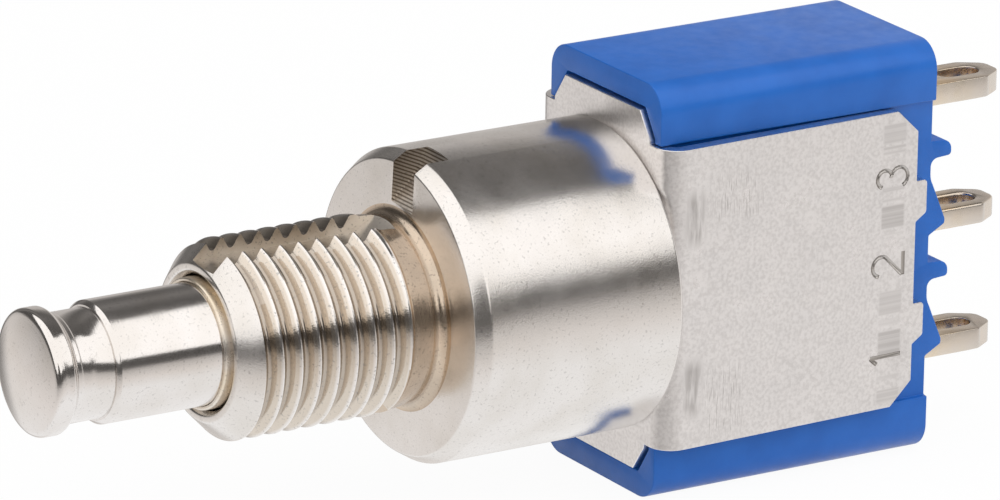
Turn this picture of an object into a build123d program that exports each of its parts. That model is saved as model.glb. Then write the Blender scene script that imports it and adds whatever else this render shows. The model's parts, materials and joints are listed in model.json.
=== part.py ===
"""Miniature push-button switch for panel mounting, single-pole changeover, in millimetres.

Frame: the switch axis is Y. The origin is where that axis meets the barrel's front shoulder, the
face that seats on the panel. The plunger points to -Y and the terminals to +Y. +Z runs along the
long side of the case, towards the keyway and terminal 3. The legs of the frame face +X and -X.
Every piece stands where it is with the button out, when terminals 2 and 3 are joined.
"""

import os
from math import cos, radians, sin, sqrt

from build123d import *

# ---- Clearances ----
run_gap = 0.05  # radial, between running parts
fit_gap = 0.01  # between parts pressed or dropped together
seat_gap = 0.02  # a stop that is just not touching

# ---- Bushing and barrel, turned in one piece ----
thread_d = 6.95  # over the thread crests, M7 x 0.75
bushing_len = 7.85  # front face to shoulder
bushing_edge = 0.45  # lead-in chamfer of the thread
relief_d = 6.15
relief_len = 1.75  # plain neck between thread and shoulder
facing_d = 7.20  # the shoulder is faced back a little inside this
facing_depth = 0.05
barrel_d = 11.0
barrel_len = 8.20
barrel_bevel_r = 0.32
barrel_bevel_y = 0.50
barrel_back_edge = 0.12
barrel_bore_d = 5.60
barrel_floor = 1.20  # the bore stops here, and the plunger's collar rests on it
spigot_d = 6.50  # seat of the frame's plate
mouth_d = 5.20  # conical mouth, at the front face
mouth_len = 0.25
keyway_w = 1.50
keyway_depth = 0.50
keyway_end = 1.35  # how far the cutter runs into the barrel's rim
cutter_r = 3.00

# ---- Plunger ----
plunger_d = 4.24
plunger_reach = 6.75  # crown to bushing face, button out
head_d = 4.32
head_crown = 0.25
head_rim = 0.42
head_len = 0.85
head_cone = 0.48
groove_d = 3.80
groove_len = 1.23
shaft_bevel = 0.14
collar_d = 5.20
collar_len = 1.20
tail_d = 2.40
travel = 2.00
sleeve_wall = 0.15
sleeve_show = 0.20  # how far the sleeve looks out of the mouth
sleeve_len = 6.50

# ---- Return spring and its plate ----
spring_wire = 0.45
wire_flats = 5
spring_mean_d = 4.60
spring_turns = 4.5
spring_plate_t = 0.40
spring_plate_w = 5.60
spring_plate_h = 8.20

# ---- Frame, one bent sheet ----
sheet = 0.50
bend_r = 0.85  # outside of the bend
legs_front_w = 8.56  # over the two legs at the plate
legs_back_w = 7.90  # and at their free ends
leg_h = 10.85
leg_end = 18.78
leg_cut_y = 0.88  # rear corners cut off
leg_cut_z = 0.85
plate_h = 13.0
plate_tip_w = 4.80
plate_neck_w = 6.12
plate_neck_h = 11.14
lobe_pitch = 4.50
lobe_up = 0.50  # top of the pair above its even place
lobe_h = 1.20  # square part
lobe_slope = 0.30  # and its sloping lower end
lobe_out = 0.45
lobe_r = 0.15

# ---- Case ----
case_w = 7.10
case_h = 15.0
case_front = 8.35
case_back = 19.78
case_corner = 1.00
lip_top = 0.90
lip_gap = 0.10  # round the frame's plate
flange_z = 5.45  # inner edge of the top and bottom flanges
web_w = 6.70  # over the walls behind the legs
cavity_w = 4.70
cavity_corner = 0.50
case_floor = 1.50  # rear wall
barrier_in = 0.125  # each barrier's middle, inwards from midway between two terminals
barrier_out = 0.85
barrier_up = -0.07
tooth_w = 0.66  # at its foot
tooth_taper = 0.06  # either side, towards its tip
tooth_top_r = 0.34
tooth_low_r = 0.14
scallop_w = 0.75  # level stretch between tooth and ramp
scallop_top_r = 0.30
scallop_low_r = 0.80
ramp_w = 2.05
ramp_out = 0.95
ramp_back = 0.42  # the ramp's steep end
ramp_r = 0.15

# ---- Terminals ----
terminal_pitch = 4.70
blade_w = 2.00
blade_t = 0.76
blade_end = 24.60
nose_x = 0.55
nose_y = 0.85
nose_r = 0.45
eye_w = 0.90
eye_len = 1.70
eye_end = 0.65  # metal left past the eye
pad_t = 0.50
pad_w = 3.30
pad_h = 2.00
pad_air = 0.20  # outer pads to the ends of the chamber
seal_w = 4.90
seal_wall = 0.45  # compound over and under the blade
seal_out = 0.90
seal_draft = 25.0

# ---- Contacts and rocker ----
fixed_d = 1.80
fixed_t = 0.45
shank_d = 0.80
rocker_t = 0.40
rocker_w = 2.00
rocker_past = 0.80  # its length past the rivets' axes
rocker_lean = 6.0  # degrees, either way
rivet_d = 1.60
rivet_drop = 0.75  # rocker's middle plane to the rivet's crown
rivet_dome_r = 2.20
rivet_back_t = 0.15
contact_gap = 0.05
trunnion_d = 0.60
trunnion_w = 3.60
ear_t = 0.45
ear_h = 1.60
ear_rise = 0.50

# ---- Yoke, lever and tip ----
lever_swing = 17.0  # degrees, either way
lever_w = 2.10
hub_d = 1.80
axle_d = 0.70
axle_seat = 0.50  # depth of the axle's slots in the case
drive_pin_d = 0.80
fork_wall = 0.50
tip_d = 0.90
tip_len = 1.10
tip_show = 0.55
tip_air = 0.10  # tip to rocker at mid travel
tip_spring_len = 0.90
tip_spring_wire = 0.12
tip_spring_turns = 3.5
tail_wall = 0.35
stem_d = 3.40
stem_grip = 2.80  # length on the plunger's tail
stem_air = 0.25  # radial, in the spring plate's hole
bridge_t = 0.60
bridge_air = 0.15
cheek_t = 0.75
cheek_gap = 0.15
cheek_wall = 0.40

# ---- Places that follow from the sizes ----
thread_r = thread_d / 2
barrel_r = barrel_d / 2
bushing_front = -bushing_len
plunger_front = bushing_front - plunger_reach
sleeve_r = plunger_d / 2 + fit_gap + sleeve_wall
plate_back = barrel_len + sheet
web_front = plate_back + run_gap
cavity_front = web_front + spring_plate_t + run_gap
cavity_back = case_back - case_floor
cavity_h = 2 * (terminal_pitch + pad_h / 2 + pad_air)
barrier_back = case_back + barrier_out
barrier_z = terminal_pitch / 2 - barrier_in
slot_h = axle_d + 2 * run_gap
terminal_z = {1: -terminal_pitch, 2: 0.0, 3: terminal_pitch}
pad_front = cavity_back - pad_t
contact_face = pad_front - fixed_t
lean = radians(rocker_lean)
rivet_low = rivet_dome_r - (rivet_dome_r - rivet_drop) * cos(lean) + terminal_pitch * sin(lean)
rocker_y = contact_face - contact_gap - rivet_low
collar_back = barrel_floor + seat_gap + collar_len
bridge_front = cavity_front + run_gap
bridge_back = bridge_front + bridge_t
lever_y = bridge_back + travel + bridge_air + hub_d / 2
swing = radians(lever_swing)
drive_arm = travel / (2 * sin(swing))
drive_pin_y = lever_y - travel / 2
drive_pin_z = drive_arm * cos(swing)
cheek_x = lever_w / 2 + cheek_gap
yoke_end = drive_pin_d / 2 + cheek_wall
tip_reach = rocker_y - trunnion_d / 2 - tip_air - lever_y
tip_root = tip_reach - tip_len
spring_root = tip_root - tip_spring_len

# The lever at rest leans one way and the rocker the other. Each is drawn upright on its own plane.
lever_plane = Plane(origin=(0, lever_y, 0), x_dir=(0, cos(swing), sin(swing)), z_dir=(1, 0, 0))
rocker_plane = Plane(origin=(0, rocker_y, 0), x_dir=(0, cos(lean), -sin(lean)), z_dir=(1, 0, 0))


def facing(y):
    """A plane square to the switch axis, with X to the right and Z up. Minus amounts go to +Y."""
    return Plane.XZ.offset(-y)


def finish(builder, name):
    """Label a finished piece and write it to its own STEP file."""
    builder.part.label = name
    export_step(builder.part, f"parts/{name}.step")


def coil(seat, mean_d, wire_d, length, turns):
    """A coil spring that stands on a plane and fills a length, its wire drawn with a few flats."""
    rise = length - wire_d
    foot = seat.offset(wire_d / 2)
    with BuildPart() as spring:
        with BuildLine() as path:
            Helix(
                pitch=rise / turns,
                height=rise,
                radius=mean_d / 2,
                center=foot.origin,
                direction=foot.z_dir,
            )
        with BuildSketch(Plane(origin=path.line @ 0, z_dir=path.line % 0)):
            RegularPolygon(wire_d / 2, side_count=wire_flats)
        sweep(is_frenet=True)
    return spring


os.makedirs("parts", exist_ok=True)

# ---- Bushing: threaded nose, shoulder and barrel with the milled keyway ----
with BuildPart() as bushing:
    with BuildSketch():
        with BuildLine():
            Polyline(
                (mouth_d / 2, bushing_front),
                (thread_r - bushing_edge, bushing_front),
                (thread_r, bushing_front + bushing_edge),
                (thread_r, -relief_len),
                (relief_d / 2, -relief_len + (thread_d - relief_d) / 2),
                (relief_d / 2, facing_depth),
                (facing_d / 2, facing_depth),
                (facing_d / 2, 0),
                (barrel_r - barrel_bevel_r, 0),
                (barrel_r, barrel_bevel_y),
                (barrel_r, barrel_len - barrel_back_edge),
                (barrel_r - barrel_back_edge, barrel_len),
                (spigot_d / 2, barrel_len),
                (spigot_d / 2, plate_back),
                (barrel_bore_d / 2, plate_back),
                (barrel_bore_d / 2, barrel_floor),
                (sleeve_r + run_gap, barrel_floor),
                (sleeve_r + run_gap, bushing_front + mouth_len),
                close=True,
            )
        make_face()
    revolve(axis=Axis.Y)
    # The keyway is one pass of a disc cutter, which lifts out through the shoulder's rim.
    cutter_z = thread_r - keyway_depth + cutter_r
    cutter_y = keyway_end - sqrt(cutter_r**2 - (cutter_z - barrel_r) ** 2)
    with BuildSketch(Plane.YZ):
        with Locations((cutter_y, cutter_z)):
            Circle(cutter_r)
            Rectangle(bushing_len, 2 * cutter_r, align=(Align.MAX, Align.CENTER))
    extrude(amount=keyway_w / 2, both=True, mode=Mode.SUBTRACT)
finish(bushing, "bushing")

# ---- Plunger: crowned head, cap groove, shaft, stop collar and tail ----
head_back = plunger_front + head_len + head_cone
groove_back = head_back + groove_len
with BuildPart() as plunger:
    with BuildSketch():
        with BuildLine():
            crown_edge = (head_d / 2 - head_rim, plunger_front + head_crown)
            rim_back = (head_d / 2, crown_edge[1] + head_rim)
            ThreePointArc(
                (0, plunger_front),
                (crown_edge[0] / 2, plunger_front + head_crown / 4),
                crown_edge,
            )
            ThreePointArc(
                crown_edge,
                (
                    head_d / 2 - head_rim * (1 - sin(radians(45))),
                    rim_back[1] - head_rim * sin(radians(45)),
                ),
                rim_back,
            )
            Polyline(
                rim_back,
                (head_d / 2, plunger_front + head_len),
                (groove_d / 2, head_back),
                (groove_d / 2, groove_back),
                (plunger_d / 2 - shaft_bevel, groove_back),
                (plunger_d / 2, groove_back + shaft_bevel),
                (plunger_d / 2, barrel_floor + seat_gap),
                (collar_d / 2, barrel_floor + seat_gap),
                (collar_d / 2, collar_back),
                (tail_d / 2, collar_back),
                (tail_d / 2, bridge_front),
                (0, bridge_front),
                (0, plunger_front),
            )
        make_face()
    revolve(axis=Axis.Y)
finish(plunger, "plunger")

# ---- Guide sleeve: a thin bearing on the shaft, which looks out of the mouth ----
with BuildPart() as guide_sleeve:
    with BuildSketch(facing(bushing_front - sleeve_show)):
        Circle(sleeve_r)
        Circle(plunger_d / 2 + fit_gap, mode=Mode.SUBTRACT)
    extrude(amount=-sleeve_len)
    outer_rims = guide_sleeve.edges().filter_by(GeomType.CIRCLE).group_by(SortBy.RADIUS)[-1]
    chamfer(outer_rims, length=sleeve_wall / 2)
finish(guide_sleeve, "guide_sleeve")

# ---- Return spring: from the collar to the spring plate ----
spring_seat = Plane(origin=(0, collar_back + seat_gap, 0), z_dir=(0, 1, 0))
return_spring = coil(
    spring_seat, spring_mean_d, spring_wire, web_front - collar_back - 2 * seat_gap, spring_turns
)
finish(return_spring, "return_spring")

# ---- Spring plate: the spring's rear seat, with two arms that hold the lever's axle ----
with BuildPart() as spring_plate:
    with BuildSketch(facing(web_front)):
        RectangleRounded(spring_plate_w, spring_plate_h, cavity_corner)
        Circle(stem_d / 2 + stem_air, mode=Mode.SUBTRACT)
    extrude(amount=-spring_plate_t)
    arm_start = web_front + spring_plate_t
    arm_end = lever_y - axle_d / 2 - fit_gap
    with BuildSketch(facing(arm_start)):
        with GridLocations(cavity_w + axle_seat, 0, 2, 1):
            Rectangle(axle_seat - 2 * run_gap, axle_d)
    extrude(amount=arm_start - arm_end)
finish(spring_plate, "spring_plate")

# ---- Frame: one sheet bent to a stirrup round the case, its plate held on the spigot ----
with BuildPart() as frame:
    # the stirrup seen along Z, its legs pressed a little inwards
    with BuildSketch(Plane.XY.offset(-leg_h / 2)):
        with BuildLine():
            FilletPolyline(
                (-legs_back_w / 2, leg_end),
                (-legs_front_w / 2, barrel_len),
                (legs_front_w / 2, barrel_len),
                (legs_back_w / 2, leg_end),
                radius=bend_r,
            )
            offset(amount=sheet, side=Side.LEFT)
        make_face()
    extrude(amount=leg_h)
    # the plate's two ends, which the lips of the case go round
    with BuildSketch(facing(barrel_len)):
        for end in (1, -1):
            with BuildLine():
                Polyline(
                    (-plate_neck_w / 2, 0),
                    (-plate_neck_w / 2, end * plate_neck_h / 2),
                    (-plate_tip_w / 2, end * plate_h / 2),
                    (plate_tip_w / 2, end * plate_h / 2),
                    (plate_neck_w / 2, end * plate_neck_h / 2),
                    (plate_neck_w / 2, 0),
                    close=True,
                )
            make_face()
        Circle(spigot_d / 2 + fit_gap, mode=Mode.SUBTRACT)
    extrude(amount=-sheet)
    with BuildSketch(facing(barrel_len)):
        Circle(spigot_d / 2 + fit_gap)
    extrude(amount=-sheet, mode=Mode.SUBTRACT)
    # rear corners of the legs cut off, and two locking lobes left at each free end
    with BuildSketch(Plane.YZ):
        for end in (1, -1):
            with BuildLine():
                Polyline(
                    (leg_end - leg_cut_y, end * leg_h / 2),
                    (leg_end, end * (leg_h / 2 - leg_cut_z)),
                    (leg_end, end * leg_h / 2),
                    close=True,
                )
            make_face()
    extrude(amount=legs_front_w, both=True, mode=Mode.SUBTRACT)
    leg_toe_in = (legs_front_w - legs_back_w) / 2 / (leg_end - barrel_len)
    for side in (1, -1):
        leg_outside = Plane(
            origin=(side * legs_back_w / 2, leg_end, 0),
            x_dir=(-side * leg_toe_in, 1, 0),
            z_dir=(side, leg_toe_in, 0),
        )
        with BuildSketch(leg_outside):
            for lobe_top in (lobe_up + lobe_pitch / 2, lobe_up - lobe_pitch / 2):
                with BuildLine():
                    FilletPolyline(
                        (-lobe_out, lobe_top),
                        (lobe_out, lobe_top),
                        (lobe_out, lobe_top - lobe_h),
                        (0, lobe_top - lobe_h - lobe_slope),
                        (-lobe_out, lobe_top - lobe_h - lobe_slope),
                        radius=(0, lobe_r, lobe_r, 0, 0),
                        close=True,
                    )
                make_face()
        extrude(amount=-sheet)
finish(frame, "frame")

# ---- Case: moulded housing, open at the front, where the frame's plate closes it ----
with BuildPart() as case:
    with BuildSketch(facing(web_front)):
        RectangleRounded(case_w, case_h, case_corner)
    extrude(amount=web_front - case_back)
    # walls set back behind the legs
    with BuildSketch(facing(web_front)):
        with GridLocations(web_w + case_w, 0, 2, 1):
            Rectangle(case_w, 2 * flange_z)
    extrude(amount=web_front - case_back, mode=Mode.SUBTRACT)
    # the lips that go round the two ends of the plate
    with BuildSketch(facing(case_front)):
        RectangleRounded(case_w, case_h, case_corner)
        Rectangle(case_w, 2 * flange_z, mode=Mode.SUBTRACT)
        for end in (1, -1):
            with BuildLine():
                Polyline(
                    (-plate_neck_w / 2 - lip_gap, 0),
                    (-plate_neck_w / 2 - lip_gap, end * (plate_neck_h / 2 + lip_gap / 2)),
                    (-plate_tip_w / 2 - lip_gap, end * (case_h / 2 - lip_top)),
                    (plate_tip_w / 2 + lip_gap, end * (case_h / 2 - lip_top)),
                    (plate_neck_w / 2 + lip_gap, end * (plate_neck_h / 2 + lip_gap / 2)),
                    (plate_neck_w / 2 + lip_gap, 0),
                    close=True,
                )
            make_face(mode=Mode.SUBTRACT)
    extrude(amount=case_front - web_front)
    # barriers between the terminals, seen along X: a tooth, a scallop and a ramp each
    with BuildSketch(Plane.YZ.offset(-web_w / 2)):
        for z in (barrier_up + barrier_z, barrier_up - barrier_z):
            tooth_top = z + (tooth_w + scallop_w + ramp_w) / 2
            scallop_top = tooth_top - tooth_w
            scallop_foot = scallop_top - scallop_w
            ramp_foot = scallop_foot - ramp_w
            with BuildLine():
                FilletPolyline(
                    (cavity_back, tooth_top),
                    (case_back, tooth_top),
                    (barrier_back, tooth_top - tooth_taper),
                    (barrier_back, scallop_top + tooth_taper),
                    (case_back, scallop_top),
                    (case_back, scallop_foot),
                    (case_back + ramp_out, ramp_foot + ramp_back),
                    (case_back, ramp_foot),
                    (cavity_back, ramp_foot),
                    radius=(
                        0,
                        0,
                        tooth_top_r,
                        tooth_low_r,
                        scallop_top_r,
                        scallop_low_r,
                        ramp_r,
                        0,
                        0,
                    ),
                    close=True,
                )
            make_face()
    extrude(amount=web_w)
    # the chamber for the mechanism, its step for the spring plate and the slots for the axle
    with BuildSketch(facing(web_front)):
        RectangleRounded(cavity_w, cavity_h, cavity_corner)
    extrude(amount=web_front - cavity_back, mode=Mode.SUBTRACT)
    with BuildSketch(facing(web_front)):
        RectangleRounded(
            spring_plate_w + 2 * run_gap, spring_plate_h + 2 * run_gap, cavity_corner + run_gap
        )
    extrude(amount=web_front - cavity_front, mode=Mode.SUBTRACT)
    with BuildSketch(Plane.YZ):
        with Locations((lever_y, 0)):
            Circle(slot_h / 2)
            Rectangle(lever_y - web_front, slot_h, align=(Align.MAX, Align.CENTER))
    extrude(amount=cavity_w / 2 + axle_seat, both=True, mode=Mode.SUBTRACT)
    # slots for the three blades
    with BuildSketch(facing(cavity_back)):
        with Locations(*[(0, z) for z in terminal_z.values()]):
            Rectangle(blade_w + 2 * fit_gap, blade_t + 2 * fit_gap)
    extrude(amount=-case_floor - ramp_out, mode=Mode.SUBTRACT)
finish(case, "case")

# ---- Terminals: blade with an eye outside, pad inside, and the rocker's ears on the middle one ----
for number, z in terminal_z.items():
    with BuildPart() as terminal:
        with BuildSketch(Plane.XY.offset(z - blade_t / 2)):
            with BuildLine():
                FilletPolyline(
                    (-blade_w / 2, pad_front),
                    (-blade_w / 2, blade_end - nose_y),
                    (-blade_w / 2 + nose_x, blade_end),
                    (blade_w / 2 - nose_x, blade_end),
                    (blade_w / 2, blade_end - nose_y),
                    (blade_w / 2, pad_front),
                    radius=(0, nose_r, nose_r, nose_r, nose_r, 0),
                    close=True,
                )
            make_face()
            with Locations((0, blade_end - eye_end - eye_len / 2)):
                SlotOverall(eye_len, eye_w, rotation=90, mode=Mode.SUBTRACT)
        extrude(amount=blade_t)
        with BuildSketch(facing(pad_front)):
            with Locations((0, z)):
                Rectangle(pad_w, pad_h)
        extrude(amount=-pad_t)
        if number == 2:
            with BuildSketch(Plane.YZ.offset(-pad_w / 2)):
                with Locations((pad_front, z)):
                    Rectangle(
                        pad_front - rocker_y + ear_rise, ear_h, align=(Align.MAX, Align.CENTER)
                    )
                with Locations((rocker_y, z)):
                    Circle(trunnion_d / 2 + run_gap, mode=Mode.SUBTRACT)
                    Rectangle(
                        2 * ear_rise,
                        trunnion_d + 2 * run_gap,
                        align=(Align.MAX, Align.CENTER),
                        mode=Mode.SUBTRACT,
                    )
            extrude(amount=ear_t)
            mirror(about=Plane.YZ)
        else:
            with BuildSketch(facing(pad_front)):
                with Locations((0, z)):
                    Circle(shank_d / 2 + fit_gap)
            extrude(amount=-pad_t, mode=Mode.SUBTRACT)
    finish(terminal, f"terminal_{number}")

    # sealing compound round the blade, where it leaves the case
    with BuildPart() as seal:
        with BuildSketch(facing(case_back)):
            with Locations((0, z)):
                RectangleRounded(seal_w, blade_t + 2 * seal_wall, seal_wall)
        extrude(amount=-seal_out, taper=seal_draft)
        with BuildSketch(facing(case_back)):
            with Locations((0, z)):
                Rectangle(blade_w + 2 * fit_gap, blade_t + 2 * fit_gap)
        extrude(amount=-seal_out, mode=Mode.SUBTRACT)
        add(case.part, mode=Mode.SUBTRACT)
    finish(seal, f"seal_{number}")

# ---- Fixed contacts: rivets in the pads of the outer terminals ----
for number in (1, 3):
    with BuildPart() as fixed_contact:
        with BuildSketch(facing(contact_face)):
            with Locations((0, terminal_z[number])):
                Circle(fixed_d / 2)
        extrude(amount=-fixed_t)
        with BuildSketch(facing(pad_front)):
            with Locations((0, terminal_z[number])):
                Circle(shank_d / 2)
        extrude(amount=-pad_t)
    finish(fixed_contact, f"fixed_contact_{number}")

# ---- Rocker: contact strip that tips over on the middle terminal, a silver rivet at each end ----
with BuildPart() as rocker:
    with BuildSketch(rocker_plane.offset(-rocker_w / 2)):
        Rectangle(rocker_t, 2 * (terminal_pitch + rocker_past))
    extrude(amount=rocker_w)
    with BuildSketch(rocker_plane.offset(-trunnion_w / 2)):
        Circle(trunnion_d / 2)
    extrude(amount=trunnion_w)
    rivet_side = Plane(origin=rocker_plane.origin, x_dir=(1, 0, 0), z_dir=rocker_plane.x_dir)
    with BuildSketch(rivet_side):
        with Locations((0, terminal_pitch), (0, -terminal_pitch)):
            Circle(shank_d / 2 + fit_gap)
    extrude(amount=rocker_t, both=True, mode=Mode.SUBTRACT)
finish(rocker, "rocker")

for number in (1, 3):
    v = terminal_z[number]
    with BuildPart() as moving_contact:
        # half section through the rivet's axis, turned about it
        with BuildSketch(rocker_plane):
            with BuildLine():
                dome_edge = rivet_drop - rivet_dome_r + sqrt(rivet_dome_r**2 - rivet_d**2 / 4)
                RadiusArc((rivet_drop, v), (dome_edge, v + rivet_d / 2), -rivet_dome_r)
                Polyline(
                    (dome_edge, v + rivet_d / 2),
                    (rocker_t / 2, v + rivet_d / 2),
                    (rocker_t / 2, v + shank_d / 2),
                    (-rocker_t / 2, v + shank_d / 2),
                    (-rocker_t / 2, v + rivet_d / 2 - rivet_back_t),
                    (-rocker_t / 2 - rivet_back_t, v + shank_d / 2),
                    (-rocker_t / 2 - rivet_back_t, v),
                    (rivet_drop, v),
                )
            make_face()
        rivet_axis = Axis(rocker_plane.from_local_coords((0, v, 0)), rocker_plane.x_dir)
        revolve(axis=rivet_axis)
    finish(moving_contact, f"moving_contact_{number}")

# ---- Yoke: carries the plunger's motion past the lever's hub to its fork ----
with BuildPart() as yoke:
    with BuildSketch(facing(bridge_front)):
        with Locations((0, (drive_pin_z + yoke_end - stem_d / 2) / 2)):
            Rectangle(2 * (cheek_x + cheek_t), drive_pin_z + yoke_end + stem_d / 2)
    extrude(amount=-bridge_t)
    fillet(yoke.edges().filter_by(Axis.Y), radius=cheek_wall)
    with BuildSketch(facing(bridge_front)):
        Circle(stem_d / 2)
    extrude(amount=stem_grip)
    with BuildSketch(Plane.YZ.offset(cheek_x)):
        with Locations((drive_pin_y, drive_pin_z)):
            Circle(yoke_end)
            Rectangle(drive_pin_y - bridge_front, 2 * yoke_end, align=(Align.MAX, Align.CENTER))
    extrude(amount=cheek_t)
    mirror(about=Plane.YZ)
    with BuildSketch(facing(bridge_front)):
        Circle(tail_d / 2 + fit_gap)
    extrude(amount=stem_grip, mode=Mode.SUBTRACT)
    with BuildSketch(Plane.YZ):
        with Locations((drive_pin_y, drive_pin_z)):
            Circle(drive_pin_d / 2 + fit_gap)
    extrude(amount=cheek_x + cheek_t, both=True, mode=Mode.SUBTRACT)
finish(yoke, "yoke")

with BuildPart() as drive_pin:
    with BuildSketch(Plane.YZ):
        with Locations((drive_pin_y, drive_pin_z)):
            Circle(drive_pin_d / 2)
    extrude(amount=cheek_x + cheek_t, both=True)
finish(drive_pin, "drive_pin")

# ---- Lever: hub, fork for the drive pin, and the barrel that holds the sprung tip ----
fork_w = drive_pin_d + 2 * run_gap + 2 * fork_wall
fork_root = drive_pin_z - drive_pin_d / 2 - run_gap
fork_end = drive_arm + drive_pin_d / 2 + run_gap
tip_bore_r = tip_d / 2 + run_gap
with BuildPart() as lever:
    with BuildSketch(lever_plane.offset(-lever_w / 2)):
        Circle(hub_d / 2)
        Rectangle(fork_w, fork_end, align=(Align.CENTER, Align.MIN))
        Rectangle(
            tip_reach - tip_show, 2 * (tip_bore_r + tail_wall), align=(Align.MIN, Align.CENTER)
        )
        Circle(axle_d / 2 + run_gap, mode=Mode.SUBTRACT)
        with Locations((0, fork_end)):
            SlotOverall(
                2 * (fork_end - fork_root),
                drive_pin_d + 2 * run_gap,
                rotation=90,
                mode=Mode.SUBTRACT,
            )
    extrude(amount=lever_w)
    tip_side = Plane(origin=lever_plane.origin, x_dir=(1, 0, 0), z_dir=lever_plane.x_dir)
    with BuildSketch(tip_side.offset(spring_root)):
        Circle(tip_bore_r)
    extrude(amount=tip_reach, mode=Mode.SUBTRACT)
finish(lever, "lever")

with BuildPart() as lever_axle:
    with BuildSketch(Plane.YZ):
        with Locations((lever_y, 0)):
            Circle(axle_d / 2)
    extrude(amount=cavity_w / 2 + axle_seat - run_gap, both=True)
finish(lever_axle, "lever_axle")

with BuildPart() as tip:
    with BuildSketch(tip_side.offset(tip_root)):
        Circle(tip_d / 2)
    extrude(amount=tip_len)
    fillet(tip.edges().sort_by(Axis(lever_plane.origin, lever_plane.x_dir))[-1], radius=tip_d * 0.45)
finish(tip, "tip")

tip_spring = coil(
    tip_side.offset(spring_root + seat_gap),
    tip_d - 2 * tip_spring_wire,
    tip_spring_wire,
    tip_spring_len - 2 * seat_gap,
    tip_spring_turns,
)
finish(tip_spring, "tip_spring")
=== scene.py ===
# %% [markdown]
# # A miniature push-button switch
# The switch has a turned metal nose with a thread and a keyway, a sprung plunger in it, a blue moulded
# case, a bent sheet-metal frame that holds both together, and three gold-plated solder terminals.
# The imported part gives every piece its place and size. This file makes the pieces that show look real.
# It works in metres, so sizes are written in millimetres and multiplied by `mm`.

import json
import math

import bmesh
import bpy
from mathutils import Matrix, Vector

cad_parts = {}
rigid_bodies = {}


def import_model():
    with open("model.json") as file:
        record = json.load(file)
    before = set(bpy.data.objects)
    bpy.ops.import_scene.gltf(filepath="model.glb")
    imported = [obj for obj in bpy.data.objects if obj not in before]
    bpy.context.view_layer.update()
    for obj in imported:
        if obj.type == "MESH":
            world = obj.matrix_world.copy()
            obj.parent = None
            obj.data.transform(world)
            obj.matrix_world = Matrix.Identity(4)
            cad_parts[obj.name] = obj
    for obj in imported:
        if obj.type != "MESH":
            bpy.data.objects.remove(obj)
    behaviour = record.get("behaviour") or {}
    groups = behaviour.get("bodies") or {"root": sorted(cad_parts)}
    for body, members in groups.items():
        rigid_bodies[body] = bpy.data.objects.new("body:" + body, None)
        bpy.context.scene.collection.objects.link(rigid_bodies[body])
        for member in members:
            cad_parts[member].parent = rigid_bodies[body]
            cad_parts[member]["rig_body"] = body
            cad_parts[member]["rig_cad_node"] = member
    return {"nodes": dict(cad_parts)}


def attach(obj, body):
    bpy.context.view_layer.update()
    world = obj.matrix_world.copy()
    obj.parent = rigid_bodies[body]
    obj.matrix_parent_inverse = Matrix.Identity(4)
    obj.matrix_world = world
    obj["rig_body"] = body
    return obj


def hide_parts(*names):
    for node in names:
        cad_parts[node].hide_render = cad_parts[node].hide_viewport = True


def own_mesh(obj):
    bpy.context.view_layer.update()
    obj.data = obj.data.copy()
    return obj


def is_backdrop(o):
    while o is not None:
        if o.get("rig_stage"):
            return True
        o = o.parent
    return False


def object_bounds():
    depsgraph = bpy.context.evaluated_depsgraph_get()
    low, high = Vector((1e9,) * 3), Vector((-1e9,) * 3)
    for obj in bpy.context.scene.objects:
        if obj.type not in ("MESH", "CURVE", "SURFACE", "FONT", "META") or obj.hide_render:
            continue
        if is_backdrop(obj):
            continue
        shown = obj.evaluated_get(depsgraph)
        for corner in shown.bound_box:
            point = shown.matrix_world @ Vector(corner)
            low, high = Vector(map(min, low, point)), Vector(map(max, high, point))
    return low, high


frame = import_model()
cad_low, cad_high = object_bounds()
mm = 0.001
print("part loaded:", len(frame["nodes"]), "nodes, box", [round(s / mm, 2) for s in cad_high - cad_low])

# %% [markdown]
# ## Picking pieces and faces
# Operators act on whatever is selected, so each step first says which piece it is about. Faces are
# picked in code by where they are and which way they face, as a modeller would click on them.


# %% Select, name and open a piece
def pick(piece):
    """Select one piece and nothing else."""
    bpy.ops.object.select_all(action="DESELECT")
    piece.select_set(True)
    bpy.context.view_layer.objects.active = piece


def named(name):
    """Give the piece that was just added its name."""
    piece = bpy.context.object
    piece.name = name
    piece.data.name = name
    return piece


def settle(piece):
    """Put a piece's place, turn and size into its mesh, so that its object sits at the origin."""
    pick(piece)
    bpy.ops.object.transform_apply(location=True, rotation=True, scale=True)


def edit(piece):
    """Open a piece in edit mode with nothing selected."""
    pick(piece)
    bpy.ops.object.mode_set(mode="EDIT")
    bpy.ops.mesh.select_mode(type="FACE")
    bpy.ops.mesh.select_all(action="DESELECT")


def done():
    bpy.ops.object.mode_set(mode="OBJECT")


# %% [markdown]
# ## Finishing a mesh
# Modelling leaves doubled points, knife-sharp edges and flat shading. No real edge is perfectly sharp, and
# its small rounding is what catches the light, so a Bevel modifier breaks the edges. The shading could be
# made smooth all over, but only the gentle angles are, so that true corners stay crisp.


# %% Clean, round and smooth
def tidy_shell(piece, gap=0.0005):
    """Merge doubled points and turn every face outwards."""
    edit(piece)
    bpy.ops.mesh.select_all(action="SELECT")
    bpy.ops.mesh.remove_doubles(threshold=gap * mm)
    bpy.ops.mesh.normals_make_consistent(inside=False)
    done()


def round_edges(piece, width, segments=3, angle=30):
    """Break the sharp edges with a Bevel modifier, and apply it."""
    pick(piece)
    bevel = piece.modifiers.new("edges", "BEVEL")
    bevel.width = width * mm
    bevel.segments = segments
    bevel.limit_method = "ANGLE"
    bevel.angle_limit = math.radians(angle)
    bevel.use_clamp_overlap = True
    bevel.miter_outer = "MITER_ARC"
    bpy.ops.object.modifier_apply(modifier=bevel.name)


def smooth(piece, angle=35):
    pick(piece)
    bpy.ops.object.shade_smooth_by_angle(angle=math.radians(angle))


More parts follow.
